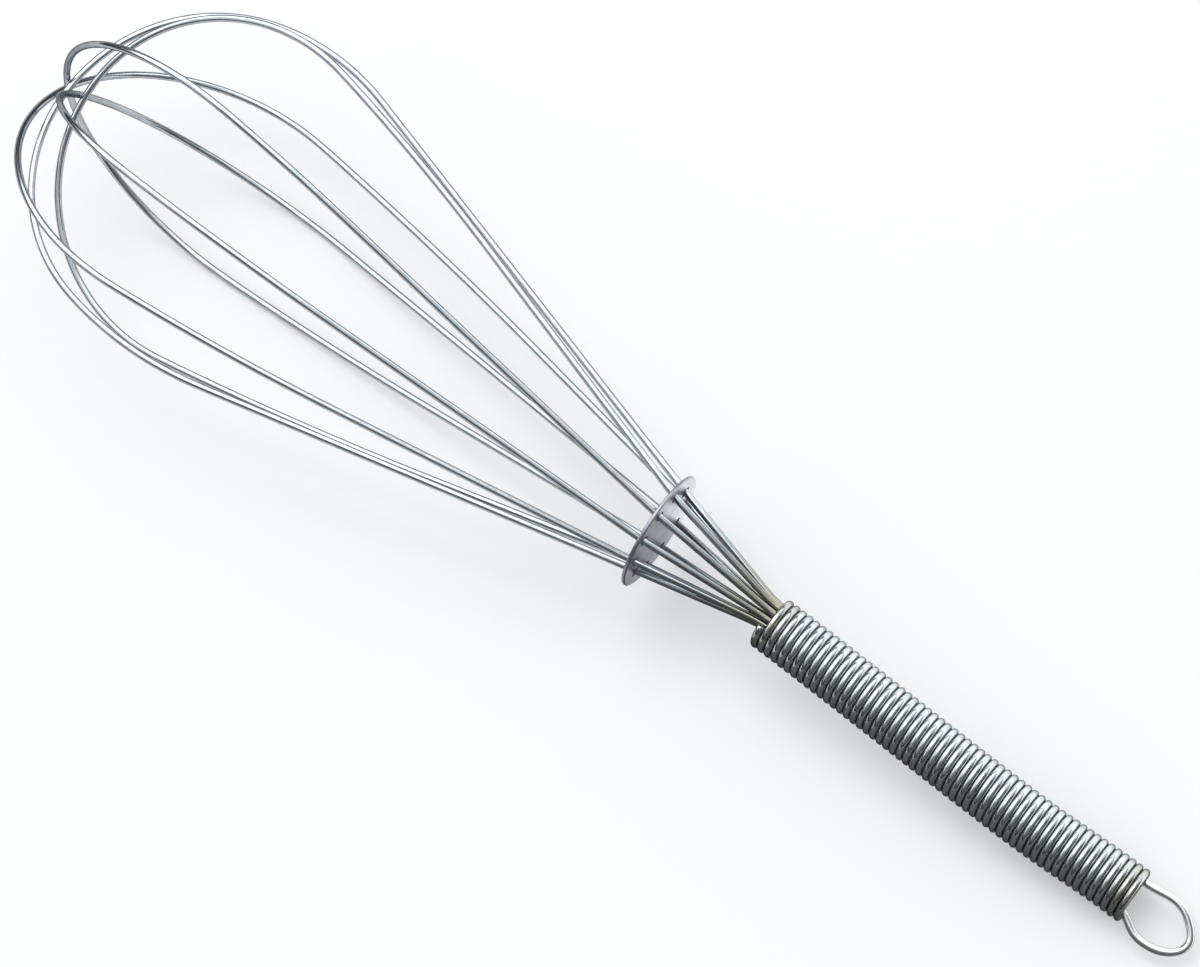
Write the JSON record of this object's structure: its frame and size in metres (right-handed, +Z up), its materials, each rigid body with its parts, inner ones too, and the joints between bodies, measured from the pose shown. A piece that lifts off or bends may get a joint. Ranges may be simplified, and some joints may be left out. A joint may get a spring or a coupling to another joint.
{
  "type": "balloon whisk",
  "caption": "Balloon whisk of wire loops with a drilled spreader disc, a close-wound wire handle and a wire hanging loop.",
  "frame": {"origin": "centre of the bounding box's bottom, on the table that the whisk lies on", "axes": "+Z up off the table, +X along the whisk towards the balloon's tip"},
  "size_m": [0.3152, 0.0806, 0.0814],
  "materials": {
    "tine_wire": "bright drawn steel wire",
    "disc_plate": "satin pressed plate with a bright rim",
    "coil_wire": "bright drawn wire, wound close",
    "hook_wire": "bright drawn wire",
    "inner_steel": "plain drawn steel"
  },
  "bodies": {
    "root": {"tine_loop_1": "tine_wire", "tine_loop_2": "tine_wire", "tine_loop_3": "tine_wire", "tine_loop_4": "tine_wire", "tine_loop_5": "tine_wire", "spreader_disc": "disc_plate", "handle_coil": "coil_wire", "hanging_loop": "hook_wire", "handle_core": "inner_steel", "leg_pin": "inner_steel"}
  },
  "joints": []
}
